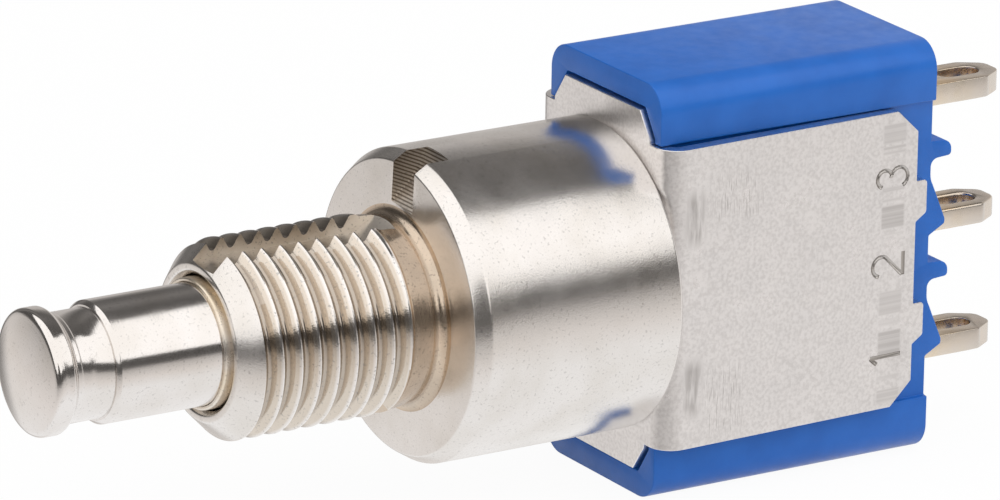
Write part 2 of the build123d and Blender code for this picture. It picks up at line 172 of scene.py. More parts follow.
# %% Dress a piece, and let it move with the part
def wear(piece, *materials):
    """Give a piece its materials, in the order of their slots."""
    piece.data.materials.clear()
    for material in materials:
        piece.data.materials.append(material)


def place(piece, body, slot, *nodes):
    """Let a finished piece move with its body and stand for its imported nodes."""
    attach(piece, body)
    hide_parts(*nodes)
    faces = len(piece.data.polygons)
    print(f"{piece.name}: {faces} faces, {len(piece.data.materials)} materials, rides on {body}")


# %% [markdown]
# ## Turned parts
# On a lathe the shape is a section swept round the axis. Here a circle is extruded from ring to ring
# along Y and resized on the way, which gives the same shape and clean bands of faces. A circle that
# starts filled becomes a solid bar. One that starts empty and comes back to its first ring is a tube.


# %% A lathe for bars and tubes
def turned(name, rings, solid=False, steps=160):
    """Rings are (y, radius) in mm, in order along the section."""
    y, radius = rings[0]
    bpy.ops.mesh.primitive_circle_add(
        vertices=steps,
        radius=radius * mm,
        fill_type="NGON" if solid else "NOTHING",
        location=(0, y * mm, 0),
        rotation=(math.pi / 2, 0, 0),
    )
    piece = named(name)
    settle(piece)
    bpy.ops.object.mode_set(mode="EDIT")
    bpy.ops.mesh.select_mode(type="EDGE")
    bpy.ops.mesh.select_all(action="SELECT")
    for next_y, next_radius in rings[1:]:
        bpy.ops.mesh.extrude_region_move(TRANSFORM_OT_translate={"value": (0, (next_y - y) * mm, 0)})
        share = next_radius / radius
        bpy.ops.transform.resize(value=(share, 1, share))
        y, radius = next_y, next_radius
    done()
    tidy_shell(piece)
    return piece


def arc(centre_y, centre_r, radius, start, end, steps=6):
    """Rings along an arc of the section. Angles are in degrees, 0 outwards and 90 towards +Y."""
    points = []
    for step in range(steps + 1):
        angle = math.radians(start + (end - start) * step / steps)
        points.append((centre_y + radius * math.sin(angle), centre_r + radius * math.cos(angle)))
    return points


# %% [markdown]
# ## Building blocks of a finish
# A finish is a small graph of nodes on the Principled shader. The same few blocks return in all of them:
# a noise of a known grain size, a range that is mapped to another, a mix of two colours, and bumps with
# a depth in millimetres. All of them read Object coordinates, so that a pattern stays on its piece.


# %% A material and its first nodes
def new_material(name):
    material = bpy.data.materials.new(name)
    material.use_nodes = True
    nodes = material.node_tree.nodes
    return material, nodes, material.node_tree.links, nodes["Principled BSDF"]


def object_point(nodes):
    return nodes.new("ShaderNodeTexCoord").outputs["Object"]


def xyz(nodes, links, point):
    """The three parts of a point or a direction."""
    parts = nodes.new("ShaderNodeSeparateXYZ")
    links.new(point, parts.inputs[0])
    return parts.outputs


def math_node(nodes, links, operation, a, b=None):
    node = nodes.new("ShaderNodeMath")
    node.operation = operation
    for socket, value in zip(node.inputs, (a, b)):
        if isinstance(value, (int, float)):
            socket.default_value = value
        elif value is not None:
            links.new(value, socket)
    return node.outputs[0]


def noise(nodes, links, point, size, detail=2.0, stretch=(1, 1, 1)):
    """A noise whose grains are about size mm across, stretched along an axis where stretch is large."""
    mapping = nodes.new("ShaderNodeMapping")
    mapping.inputs["Scale"].default_value = [1 / (size * mm * s) for s in stretch]
    links.new(point, mapping.inputs["Vector"])
    texture = nodes.new("ShaderNodeTexNoise")
    texture.inputs["Scale"].default_value = 1.0
    texture.inputs["Detail"].default_value = detail
    links.new(mapping.outputs[0], texture.inputs["Vector"])
    return texture.outputs["Fac"]


# %% Ranges, mixes and bumps
def spread(nodes, links, value, low, high, to_low, to_high):
    """Map a value from one range to another, and stop at its ends."""
    node = nodes.new("ShaderNodeMapRange")
    links.new(value, node.inputs["Value"])
    for socket, number in zip(
        ("From Min", "From Max", "To Min", "To Max"), (low, high, to_low, to_high)
    ):
        node.inputs[socket].default_value = number
    return node.outputs["Result"]


def mixed(nodes, links, share, first, second):
    """Mix two colours, each a value or another node's colour."""
    node = nodes.new("ShaderNodeMix")
    node.data_type = "RGBA"
    links.new(share, node.inputs["Factor"])
    for socket, value in ((node.inputs["A"], first), (node.inputs["B"], second)):
        if isinstance(value, tuple):
            socket.default_value = (*value, 1)
        else:
            links.new(value, socket)
    return node.outputs["Result"]


def bumps(nodes, links, shader, *layers):
    """Stack bumps, each a height from 0 to 1 and the depth in mm that it stands for."""
    normal = None
    for height, depth in layers:
        node = nodes.new("ShaderNodeBump")
        node.inputs["Distance"].default_value = depth * mm
        node.inputs["Strength"].default_value = 1.0
        links.new(height, node.inputs["Height"])
        if normal:
            links.new(normal, node.inputs["Normal"])
        normal = node.outputs["Normal"]
    links.new(normal, shader.inputs["Normal"])


# %% [markdown]
# ## Marks of the tool
# A lathe leaves rings and a milling cutter leaves slanting strokes. The rings follow y + radius, which
# changes along a bar and across a flat face alike, so one pattern serves both. The strokes are painted
# dark in the colour, as painted shade of the cutter's ridges.


# %% Rings and strokes
def axis_distance(nodes, links, point):
    """How far a point lies from the switch's axis, in metres."""
    parts = xyz(nodes, links, point)
    across = math_node(nodes, links, "MULTIPLY", parts["X"], parts["X"])
    up = math_node(nodes, links, "MULTIPLY", parts["Z"], parts["Z"])
    return math_node(nodes, links, "SQRT", math_node(nodes, links, "ADD", across, up))


def turning_rings(nodes, links, point, size):
    """Fine rings round the Y axis, about size mm apart."""
    parts = xyz(nodes, links, point)
    radius = axis_distance(nodes, links, point)
    along = math_node(nodes, links, "ADD", parts["Y"], radius)
    texture = nodes.new("ShaderNodeTexNoise")
    texture.noise_dimensions = "1D"
    texture.inputs["Detail"].default_value = 3.0
    links.new(math_node(nodes, links, "MULTIPLY", along, 1 / (size * mm)), texture.inputs["W"])
    texture.inputs["Scale"].default_value = 1.0
    return texture.outputs["Fac"]


def cutter_stroke_shade(nodes, links, point, gap):
    """Where the cutter's strokes are painted dark, as painted shade of its ridges: slanting, gap mm apart,
    from 0 to 1, setting in at the shoulder.
    """
    parts = xyz(nodes, links, point)
    slant = math_node(nodes, links, "MULTIPLY", parts["Y"], 0.45)
    slant = math_node(nodes, links, "ADD", slant, parts["Z"])
    wave = math_node(nodes, links, "MULTIPLY", slant, 2 * math.pi / (gap * mm))
    stroke = spread(nodes, links, math_node(nodes, links, "SINE", wave), -0.1, 0.5, 0.0, 0.85)
    behind = spread(nodes, links, parts["Y"], -0.4 * mm, 0.1 * mm, 0.0, 1.0)
    return math_node(nodes, links, "MULTIPLY", stroke, behind)


# %% [markdown]
# ## Plated metal
# Plated metal is a mirror that is a little rough: it has almost no colour of its own, and what it shows
# is the studio. So its material is a metallic shader with a fine grain in its bump and roughness, worn
# patches and a few dark specks. In the thread, the metal below the crests is tinted beige, and its roots
# are a darker brown, which is painted shade.


# %% One recipe for every plated metal
def plated(
    name,
    colour,
    low_rough,
    high_rough,
    grain,
    ring_depth,
    tint=(0.93, 0.92, 0.90),
    specks=0.0,
    valleys=(),
    stroke_shade_gap=0.0,
    ridges=0.0,
):
    """Valleys are (low radius, high radius, share, colour). The stroke gap is in mm between a cutter's
    strokes, painted dark as painted shade of its ridges.
    """
    material, nodes, links, shader = new_material(name)
    point = object_point(nodes)
    shader.inputs["Metallic"].default_value = 1.0
    patches = noise(nodes, links, point, 1.3, 4.0)
    rough = spread(nodes, links, patches, 0.3, 0.7, low_rough, high_rough)
    links.new(rough, shader.inputs["Roughness"])
    worn = tuple(c * t for c, t in zip(colour, tint))
    shade = spread(nodes, links, noise(nodes, links, point, 2.1, 5.0), 0.42, 0.66, 0.0, 1.0)
    coat = mixed(nodes, links, shade, colour, worn)
    # tints by distance from the axis; in the thread, beige below the crests and painted shade in the roots
    for low_r, high_r, share, valley_colour in valleys:
        distance = axis_distance(nodes, links, point)
        deep = spread(nodes, links, distance, low_r * mm, high_r * mm, share, 0.0)
        coat = mixed(nodes, links, deep, coat, valley_colour)
    # the cutter's strokes are painted dark, painted shade of its ridges
    if stroke_shade_gap:
        coat = mixed(nodes, links, cutter_stroke_shade(nodes, links, point, stroke_shade_gap), coat, (0.16, 0.12, 0.09))
    speck = spread(nodes, links, noise(nodes, links, point, 0.10, 3.0), 0.60, 0.68, 0.0, specks)
    dark = tuple(c * 0.35 for c in colour)
    links.new(mixed(nodes, links, speck, coat, dark), shader.inputs["Base Color"])
    layers = [
        (turning_rings(nodes, links, point, 0.07), ring_depth),
        (noise(nodes, links, point, 0.055, 1.0), grain),
    ]
    if ridges:
        layers.insert(0, (turning_rings(nodes, links, point, 0.30), ridges))
    bumps(nodes, links, shader, *layers)
    return material


# %% Satin, polished, milled, threaded and worn
satin_nickel = plated("satin_nickel", (0.80, 0.77, 0.745), 0.20, 0.27, 0.0022, 0.0006, specks=0.30)
bright_nickel = plated("bright_nickel", (0.80, 0.77, 0.75), 0.10, 0.15, 0.0009, 0.0007, specks=0.25)
worn_brass = plated(
    "worn_brass", (0.80, 0.74, 0.665), 0.22, 0.34, 0.003, 0.002, (0.95, 0.88, 0.76), specks=0.4
)
milled_nickel = plated(
    "milled_nickel", (0.72, 0.665, 0.60), 0.28, 0.40, 0.005, 0.003, (0.8, 0.75, 0.68), 0.6, stroke_shade_gap=0.13
)
# the thread's tints by radius: beige below the crests, and a darker brown in the roots that is painted
# shade
beige_valleys = (3.38, 3.47, 1.0, (0.66, 0.59, 0.51))
painted_root_shade = (3.08, 3.20, 0.50, (0.30, 0.25, 0.21))
thread_nickel = plated(
    "thread_nickel",
    (0.84, 0.81, 0.79),
    0.10,
    0.16,
    0.0018,
    0.0015,
    specks=0.5,
    valleys=(beige_valleys, painted_root_shade),
)
# the neck's darker brown is painted shade, for the dark that the thin neck shows
shaded_neck_nickel = plated(
    "shaded_neck_nickel", (0.54, 0.45, 0.36), 0.14, 0.22, 0.003, 0.003, (1.3, 1.27, 1.24), 0.5, ridges=0.008
)
metals = (satin_nickel, bright_nickel, worn_brass, milled_nickel, thread_nickel, shaded_neck_nickel)
print("metals:", [metal.name for metal in metals])

# %% [markdown]
# ## The bushing
# The nose of the switch is turned in one piece with the barrel behind it: a front face with a mouth for
# the plunger, a chamfer, the threaded length, a thin neck and the wide barrel, whose front face seats
# on the panel. The neck opens in a small flare where it meets that face. It could be built from several
# cylinders, but one run of rings, out along the outside and back through the bore, has no hidden walls.

# %% Sizes of the bushing, in mm
front = -7.85
mouth_r = 2.50
mouth_depth = 0.22
lead_in = 0.72
lead_in_r = 0.74
thread_r = 3.475
neck_start = -1.42
neck_r = 3.34
run_out = 0.14
fillet_r = 0.36
flare_r = 3.61
flare = [math.radians(15 * step) for step in range(7)]
barrel_r = 5.50
barrel_edge_r = 0.32
barrel_edge_y = 0.50
barrel_back = 8.20
back_edge = 0.12
spigot_r = 3.25
spigot_back = 8.70
chamber_r = 2.80
chamber_front = 1.20
bore_r = 2.34
print("nose", round(-front, 2), "mm long, barrel", 2 * barrel_r, "mm across")

# %% Turn the bushing
nose_rings = [
    (front, mouth_r),
    (front, thread_r - lead_in_r),
    (front + lead_in, thread_r),
    (neck_start, thread_r),
    (neck_start + run_out, neck_r + 0.05),
    (-0.80, neck_r + 0.02),
]
flare_rings = [(fillet_r * (math.sin(a) - 1), flare_r - fillet_r * math.cos(a)) for a in flare]
barrel_rings = [
    (0.00, barrel_r - barrel_edge_r),
    (barrel_edge_y, barrel_r),
    (barrel_back - back_edge, barrel_r),
    (barrel_back, barrel_r - back_edge),
    (barrel_back, spigot_r),
    (spigot_back, spigot_r),
    (spigot_back, chamber_r),
    (chamber_front, chamber_r),
    (chamber_front, bore_r),
    (front + mouth_depth, bore_r),
    (front, mouth_r),
]
bushing = turned("bushing_turned", nose_rings + flare_rings + barrel_rings, steps=192)
round_edges(bushing, 0.05, 3, 20)
print("bushing turned:", len(bushing.data.polygons), "faces")

# %% [markdown]
# ## The thread
# A real thread is cut by a V-shaped tool that moves along as the bar turns. The Screw modifier does just
# that to a small outline of the tool's tip, and the solid it sweeps is taken out of the bar. The crests
# stay flat and narrow, and the flanks open a little at the top, which is where plating catches light.


# %% Draw with points, and cut with a solid
def drawn(name, points, filled=False):
    """A line through points, in metres, made by extruding one point along. Filled closes it to a face."""
    bpy.ops.mesh.primitive_plane_add(size=0.2 * mm, location=points[0])
    piece = named(name)
    settle(piece)
    bpy.ops.object.mode_set(mode="EDIT")
    bpy.ops.mesh.select_mode(type="VERT")
    bpy.ops.mesh.select_all(action="SELECT")
    bpy.ops.mesh.merge(type="CENTER")
    for last, point in zip(points, points[1:]):
        step = [b - a for a, b in zip(last, point)]
        bpy.ops.mesh.extrude_vertices_move(TRANSFORM_OT_translate={"value": step})
    if filled:
        bpy.ops.mesh.select_all(action="SELECT")
        bpy.ops.mesh.edge_face_add()
    done()
    return piece


def cut(piece, cutter):
    """Take one piece out of another. The cut faces keep the cutter's material slot."""
    pick(piece)
    boolean = piece.modifiers.new("cut", "BOOLEAN")
    boolean.operation = "DIFFERENCE"
    boolean.solver = "EXACT"
    boolean.object = cutter
    bpy.ops.object.modifier_apply(modifier=boolean.name)
    bpy.data.objects.remove(cutter)


def milling(cutter, *metals):
    """Dress a cutter so that whatever it cuts shows the second metal."""
    wear(cutter, *metals)
    edit(cutter)
    bpy.ops.mesh.select_all(action="SELECT")
    cutter.active_material_index = 1
    bpy.ops.object.material_slot_assign()
    done()


# %% Shape the tool's tip
pitch = 0.72
turns = 8
root_r = 3.06
root_round = 0.14
thread_start = -7.22
thread_turn = math.radians(-200)
slope = math.radians(60)
half_tool = []
for step in range(1, 5):
    lean = slope * step / 4
    half_tool.append((root_r + root_round * (1 - math.cos(lean)), root_round * math.sin(lean)))
flank_r, flank_w = half_tool[-1]
for radius, widen in ((thread_r - 0.03, 0.0), (thread_r - 0.01, 0.02), (thread_r + 0.10, 0.02)):
    half_tool.append((radius, flank_w + (radius - flank_r) / math.tan(slope) + widen))
tool_tip = [(r, -w) for r, w in reversed(half_tool)] + [(root_r, 0.0)] + half_tool
tip_points = [(r * mm, (thread_start + along) * mm, 0) for r, along in tool_tip]
tool = drawn("thread_tool", tip_points, filled=True)
print("tool tip:", len(tool_tip), "points, pitch", pitch, "mm")

# %% Sweep the tool along the nose
pick(tool)
screw = tool.modifiers.new("thread", "SCREW")
screw.axis = "Y"
screw.angle = 2 * math.pi * turns
screw.screw_offset = pitch * turns * mm
screw.iterations = 1
screw.steps = 96 * turns
screw.render_steps = screw.steps
screw.use_smooth_shade = False
bpy.ops.object.modifier_apply(modifier=screw.name)
edit(tool)
bpy.ops.mesh.select_mode(type="EDGE")
bpy.ops.mesh.select_non_manifold()
bpy.ops.mesh.edge_face_add()
done()
tool.rotation_euler[1] = thread_turn
settle(tool)
tidy_shell(tool)
print("thread tool:", len(tool.data.polygons), "faces for", turns, "turns")

# %% Cut the thread
wear(bushing, satin_nickel, milled_nickel)
cut(bushing, tool)
print("thread cut:", len(bushing.data.polygons), "faces on the bushing")

# %% [markdown]
# ## The keyway
# A disc cutter runs along the top of the nose and lifts out through the barrel's rim, so the groove ends
# in an arc. Its floor and walls are duller than the plated rounds, and behind the shoulder the cutter's
# strokes are painted as dark stripes, painted shade of its ridges. A disc and a block that touch it make
# the same groove, one after the other.

# %% Mill the keyway
keyway_w = 1.38
keyway_floor = 2.76
keyway_turn = math.radians(4.5)
keyway_end = 1.35
cutter_r = 4.30
cutter_z = keyway_floor + cutter_r
cutter_y = keyway_end - math.sqrt(cutter_r**2 - (cutter_z - barrel_r) ** 2)
run_length = 10
bpy.ops.mesh.primitive_cylinder_add(
    vertices=192,
    radius=cutter_r * mm,
    depth=keyway_w * mm,
    location=(0, cutter_y * mm, cutter_z * mm),
    rotation=(0, math.pi / 2, 0),
)
disc = named("disc_cutter")
settle(disc)
bpy.ops.mesh.primitive_cube_add(size=mm, location=(0, (cutter_y - run_length / 2) * mm, cutter_z * mm))
run = named("cutter_run")
run.scale = (keyway_w, run_length, 2 * cutter_r)
settle(run)
for cutter in (disc, run):
    cutter.rotation_euler[1] = keyway_turn
    settle(cutter)
    milling(cutter, satin_nickel, milled_nickel)
    cut(bushing, cutter)
tidy_shell(bushing)
print("keyway", keyway_w, "mm wide, ends", keyway_end, "mm behind the shoulder")

# %% [markdown]
# ## The bushing's finishes
# Thread and neck each have a metal of their own: the thread's is tinted beige below its crests and has
# painted shade in its roots, and the neck's darker brown is painted shade. The faces are picked by their
# place along the axis, and what was milled keeps its metal.

# %% Give thread and neck their metals
edit(bushing)
for metal, low, high in ((thread_nickel, front + lead_in, neck_start), (shaded_neck_nickel, neck_start, 0.02)):
    bushing.data.materials.append(metal)
    mesh = bmesh.from_edit_mesh(bushing.data)
    for face in mesh.faces:
        spot = face.calc_center_median() / mm
        outside = bore_r + 0.2 < math.hypot(spot.x, spot.z) < flare_r
        face.select = low < spot.y < high and outside and face.material_index != 1
    bmesh.update_edit_mesh(bushing.data)
    bushing.active_material_index = len(bushing.data.materials) - 1
    bpy.ops.object.material_slot_assign()
    print(metal.name, "on", sum(face.select for face in mesh.faces), "faces")
done()
smooth(bushing, 28)
place(bushing, "housing", "satin_nickel", "bushing")

# %% [markdown]
# ## The plunger
# The plunger is a polished bar: a domed head with a groove behind it, where a cap can snap on, a shaft,
# and the collar and tail that stay inside. The dome is a slice of a large sphere, so its rings follow a
# circle, and the head's back runs down to the groove in a soft S.

# %% Turn the plunger
crown = -14.60
head_r = 2.20
rim = 0.24
dome = 0.22
head_back = crown + 0.88
groove_r = 1.90
groove_back = -12.04
shaft_r = 2.12
shaft_edge = 0.14
collar_r = 2.60
collar_front = 1.22
collar_back = collar_front + 1.2
tail_r = 1.20
tail_end = 9.20
edge_r = head_r - rim
dome_r = (edge_r**2 + dome**2) / (2 * dome)
dome_rings = []
for step in range(1, 13):
    r = edge_r * step / 12
    dome_rings.append((crown + dome_r - math.sqrt(dome_r**2 - r**2), r))
back_rings = [
    (head_back, head_r),
    (head_back + 0.09, head_r - 0.05),
    (head_back + 0.19, head_r - 0.19),
    (head_back + 0.28, groove_r + 0.03),
    (head_back + 0.44, groove_r + 0.025),
    (head_back + 0.47, groove_r),
]
shaft_rings = [
    (groove_back, groove_r),
    (groove_back, shaft_r - shaft_edge),
    (groove_back + shaft_edge, shaft_r),
    (collar_front, shaft_r),
    (collar_front, collar_r),
    (collar_back, collar_r),
    (collar_back, tail_r),
    (tail_end, tail_r),
]
rim_rings = arc(crown + dome + rim, edge_r, rim, -66, 0, 8)
plunger = turned("plunger_turned", dome_rings + rim_rings + back_rings + shaft_rings, solid=True)
round_edges(plunger, 0.035, 2, 20)
wear(plunger, bright_nickel)
smooth(plunger, 30)
place(plunger, "plunger", "satin_nickel", "plunger")

# %% [markdown]
# ## The guide sleeve
# A thin ring of worn brass guides the plunger and looks out of the mouth round it. It is a tube, turned
# from rings that come back to the first one, with a flat front whose edges are broken a little.

# %% Turn the sleeve
sleeve_in = 2.13
sleeve_out = 2.28
sleeve_front = front - 0.20
sleeve_back = sleeve_front + 6.50
sleeve = turned(
    "guide_sleeve_turned",
    [
        (sleeve_front + 0.04, sleeve_in),
        (sleeve_front, sleeve_in + 0.03),
        (sleeve_front, sleeve_out - 0.04),
        (sleeve_front + 0.06, sleeve_out),
        (sleeve_back, sleeve_out),
        (sleeve_back, sleeve_in),
        (sleeve_front + 0.04, sleeve_in),
    ],
)
round_edges(sleeve, 0.015, 2, 20)
wear(sleeve, worn_brass)
smooth(sleeve, 40)
place(sleeve, "plunger", "brass", "guide_sleeve")

# %% [markdown]
# ## Sheet metal and what the press leaves on it
# The frame is bright rolled sheet. The press leaves bars of fine lines beside the numbers, grey rubbed
# strips next to the bend and scuffed patches behind them. Each mark is a window in Y and Z, multiplied
# by a noise, and the strongest one at a point sets how grey the sheet is there.


# %% Windows and die marks
def window(nodes, links, value, low, high, soft):
    """1 between low and high, 0 outside, with soft edges."""
    rise = spread(nodes, links, value, low - soft, low + soft, 0.0, 1.0)
    fall = spread(nodes, links, value, high - soft, high + soft, 1.0, 0.0)
    return math_node(nodes, links, "MULTIPLY", rise, fall)


# where the bars of lines lie along Z, in mm, and how dark each is
die_bars = (
    (4.30, 5.00, 0.55),
    (4.10, 4.20, 0.75),
    (3.93, 4.03, 0.60),
    (2.55, 2.72, 0.55),
    (2.20, 2.30, 0.45),
    (1.22, 2.05, 0.85),
    (0.97, 1.03, 0.40),
    (0.76, 0.82, 0.35),
    (0.58, 0.63, 0.35),
    (-1.95, -1.10, 0.60),
    (-2.35, -2.12, 0.40),
    (-3.48, -2.56, 0.85),
    (-4.37, -4.20, 0.40),
    (-5.25, -4.72, 0.60),
)


def die_marks(nodes, links, y_mm, z_mm):
    """Bars of fine lines in one strip beside the numbers."""
    lines = nodes.new("ShaderNodeTexNoise")
    lines.noise_dimensions = "1D"
    lines.inputs["Scale"].default_value = 1.0
    lines.inputs["Detail"].default_value = 2.0
    links.new(math_node(nodes, links, "MULTIPLY", z_mm, 7.0), lines.inputs["W"])
    line = spread(nodes, links, lines.outputs["Fac"], 0.38, 0.58, 0.0, 1.0)
    marks = None
    for low, high, depth in die_bars:
        bar = window(nodes, links, z_mm, low, high, 0.04)
        bar = math_node(nodes, links, "MULTIPLY", bar, depth)
        marks = bar if marks is None else math_node(nodes, links, "MAXIMUM", marks, bar)
    broken = spread(nodes, links, line, 0.0, 1.0, 0.62, 1.0)
    marks = math_node(nodes, links, "MULTIPLY", marks, broken)
    return math_node(nodes, links, "MULTIPLY", marks, window(nodes, links, y_mm, 17.28, 18.26, 0.05))


# %% Rubbed and scuffed places
def rubbed_strips(nodes, links, point, y_mm, z_mm):
    """Two strips beside the bend, where the bending tool dragged."""
    drag = noise(nodes, links, point, 0.35, 4.0, (1, 0.5, 3.0))
    drag = spread(nodes, links, drag, 0.36, 0.56, 0.2, 1.0)
    upper = window(nodes, links, z_mm, 2.0, 3.8, 0.3)
    lower = window(nodes, links, z_mm, -4.2, -2.3, 0.3)
    strips = math_node(nodes, links, "MAXIMUM", upper, lower)
    strips = math_node(nodes, links, "MULTIPLY", window(nodes, links, y_mm, 9.05, 9.75, 0.2), strips)
    return math_node(nodes, links, "MULTIPLY", strips, drag)


def scuffed_patches(nodes, links, point, y_mm, z_mm):
    """Two patches of fine scratches along Z, behind the strips."""
    scratches = noise(nodes, links, point, 0.07, 3.0, (1, 0.7, 7))
    scratches = spread(nodes, links, scratches, 0.52, 0.66, 0.0, 1.0)
    patches = []
    for y_span, z_span in (((10.1, 12.2), (2.6, 4.3)), ((9.9, 11.6), (-5.2, -2.6))):
        along = window(nodes, links, y_mm, *y_span, 0.3)
        patches.append(math_node(nodes, links, "MULTIPLY", along, window(nodes, links, z_mm, *z_span, 0.3)))
    return math_node(nodes, links, "MULTIPLY", scratches, math_node(nodes, links, "MAXIMUM", *patches))


# %% The sheet's finish
def bright_sheet():
    """Bright rolled sheet, greyer wherever the press and the bending tool touched it."""
    material, nodes, links, shader = new_material("bright_sheet")
    point = object_point(nodes)
    shader.inputs["Metallic"].default_value = 1.0
    parts = xyz(nodes, links, point)
    y_mm = math_node(nodes, links, "DIVIDE", parts["Y"], mm)
    z_mm = math_node(nodes, links, "DIVIDE", parts["Z"], mm)
    shade = spread(nodes, links, noise(nodes, links, point, 0.13, 4.0), 0.40, 0.64, 0.0, 0.30)
    for mark, strength in (
        (die_marks(nodes, links, y_mm, z_mm), 0.75),
        (rubbed_strips(nodes, links, point, y_mm, z_mm), 0.8),
        (scuffed_patches(nodes, links, point, y_mm, z_mm), 0.7),
    ):
        mark = math_node(nodes, links, "MULTIPLY", mark, strength)
        shade = math_node(nodes, links, "MAXIMUM", shade, mark)
    grey = mixed(nodes, links, shade, (0.87, 0.85, 0.845), (0.46, 0.44, 0.43))
    links.new(grey, shader.inputs["Base Color"])
    rough = spread(nodes, links, noise(nodes, links, point, 1.1, 4.0), 0.3, 0.7, 0.27, 0.37)
    links.new(rough, shader.inputs["Roughness"])
    waves = noise(nodes, links, point, 0.7, 2.0)
    grains = noise(nodes, links, point, 0.05, 2.0)
    bumps(nodes, links, shader, (waves, 0.004), (grains, 0.0018))
    return material


sheet_metal = bright_sheet()
# grooves of the stamped numbers: a darker grey, partly duller pressed metal and partly painted shade in the
# grooves
shaded_stamp_metal = plated("shaded_stamp_metal", (0.50, 0.475, 0.455), 0.25, 0.36, 0.004, 0.001)
print("sheet finishes:", sheet_metal.name, shaded_stamp_metal.name)

# %% [markdown]
# ## The stamped numbers
# The terminals' numbers stand on both legs. They could be Text objects, but a font's outline makes poor
# cutters. So each stroke of a digit is a line of points that becomes a round bar, and the bar is pressed
# a little into the metal and taken out of it. The groove is a darker grey: partly duller pressed metal and
# partly painted shade in the groove.


# %% Strokes of the digits
def bow(across, up, radius, start, end):
    """Points along an arc of a digit's stroke. Angles are in degrees, 0 to the right and 90 up."""
    steps = 12
    points = []
    for step in range(steps + 1):
        angle = math.radians(start + (end - start) * step / steps)
        points.append((across + radius * math.cos(angle), up + radius * math.sin(angle)))
    return points


strokes = {
    1: [[(-0.24, 0.36), (0.02, 0.65)], [(0.02, 0.65), (0.02, -0.65)]],
    2: [bow(0, 0.28, 0.37, 165, -28) + [(-0.40, -0.62)], [(-0.42, -0.65), (0.44, -0.65)]],
    3: [bow(0, 0.33, 0.32, 160, -80), bow(0, -0.29, 0.36, 88, -155)],
}
print("strokes per digit:", [len(strokes[digit]) for digit in (1, 2, 3)])

# %% Press a digit into a leg
leg_bend = 8.20
leg_end = 18.78
leg_out_bend = 4.28
leg_out_end = 3.95
toe_in = (leg_out_bend - leg_out_end) / (leg_end - leg_bend)
stroke_r = 0.085
sunk = 0.055


def stamp(piece, digit, side, y, z):
    """Press one digit into a leg, its top towards the plunger. Each stroke is a round bar."""
    along = Vector((0, 0, side))
    top = Vector((0, -1, 0))
    out = along.cross(top)
    surface = leg_out_end + (leg_end - y) * toe_in + stroke_r - sunk
    corner = Vector((side * surface, y, z))
    for stroke in strokes[digit]:
        points = [(corner + along * a + top * t + out * toe_in * t) * mm for a, t in stroke]
        bar = drawn(f"stamp_{digit}", points)
        bpy.ops.object.convert(target="CURVE")
        bar.data.bevel_depth = stroke_r * mm
        bar.data.bevel_resolution = 3
        bar.data.use_fill_caps = True
        bpy.ops.object.convert(target="MESH")
        tidy_shell(bar, 0.0001)
        milling(bar, *piece.data.materials)
        cut(piece, bar)


# %% [markdown]
# ## The sheet-metal frame
# One strip of plated sheet is bent round the case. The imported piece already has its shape, so a merged
# copy of it gets what a press leaves: rolled edges and stamped numbers. Its large flat faces meet small
# rounded ones, and weighted normals keep them flat to the eye.


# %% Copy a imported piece, and keep its flats flat
def copy_of(node, name):
    """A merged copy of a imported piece, its flat triangles joined to whole faces."""
    pick(frame["nodes"][node])
    bpy.ops.object.duplicate()
    piece = named(name)
    piece.parent = None
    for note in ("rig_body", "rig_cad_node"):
        del piece[note]
    edit(piece)
    bpy.ops.mesh.select_all(action="SELECT")
    bpy.ops.mesh.remove_doubles(threshold=0.0005 * mm)
    bpy.ops.mesh.dissolve_limited(angle_limit=math.radians(0.5))
    bpy.ops.mesh.normals_make_consistent(inside=False)
    done()
    return piece


def firm_flats(piece):
    """Let large flat faces keep their own direction where small ones meet them."""
    pick(piece)
    weigh = piece.modifiers.new("flats", "WEIGHTED_NORMAL")
    weigh.mode = "FACE_AREA"
    weigh.weight = 100
    weigh.keep_sharp = True
    bpy.ops.object.modifier_apply(modifier=weigh.name)


# %% Round, stamp and finish the frame
sheet_frame = copy_of("frame", "sheet_frame")
wear(sheet_frame, sheet_metal, shaded_stamp_metal)
round_edges(sheet_frame, 0.06, 3, 40)
for side in (1, -1):
    stamp(sheet_frame, 3, side, 17.72, 3.04)
    stamp(sheet_frame, 2, side, 17.62, -0.16)
    stamp(sheet_frame, 1, side, 17.62, -3.50)
tidy_shell(sheet_frame, 0.00005)
edit(sheet_frame)
bpy.ops.mesh.select_all(action="SELECT")
bpy.ops.mesh.dissolve_degenerate(threshold=0.0005 * mm)
bpy.ops.mesh.dissolve_limited(angle_limit=math.radians(0.3), delimit={"MATERIAL"})
done()
smooth(sheet_frame, 30)
firm_flats(sheet_frame)
place(sheet_frame, "housing", "bare_steel", "frame")

# %% [markdown]
# ## The blue case
# The case is moulded in a saturated blue that is fully opaque. Moulded plastic is never quite even: a
# very fine spark texture breaks its gloss, and broad patches are a little lighter or darker.


# %% Blue plastic
def moulded_blue():
    material, nodes, links, shader = new_material("moulded_blue")
    point = object_point(nodes)
    patches = spread(nodes, links, noise(nodes, links, point, 1.5, 5.0), 0.35, 0.65, 0.0, 1.0)
    colour = mixed(nodes, links, patches, (0.008, 0.115, 0.47), (0.012, 0.135, 0.53))
    links.new(colour, shader.inputs["Base Color"])
    rough = spread(nodes, links, noise(nodes, links, point, 0.5, 3.0), 0.3, 0.7, 0.30, 0.40)
    links.new(rough, shader.inputs["Roughness"])
    shader.inputs["IOR"].default_value = 1.45
    grains = noise(nodes, links, point, 0.07, 2.0)
    bumps(nodes, links, shader, (noise(nodes, links, point, 1.2, 1.0), 0.006), (grains, 0.003))
    return material


blue = moulded_blue()
print("plastic:", blue.name)

# %% [markdown]
# ## The moulded shape
# A mould can't fill a knife edge, so the two ramps behind the legs end bluntly. The points near each
# ramp's tip are squeezed towards one plane across the axis, and then every edge is rounded a little.

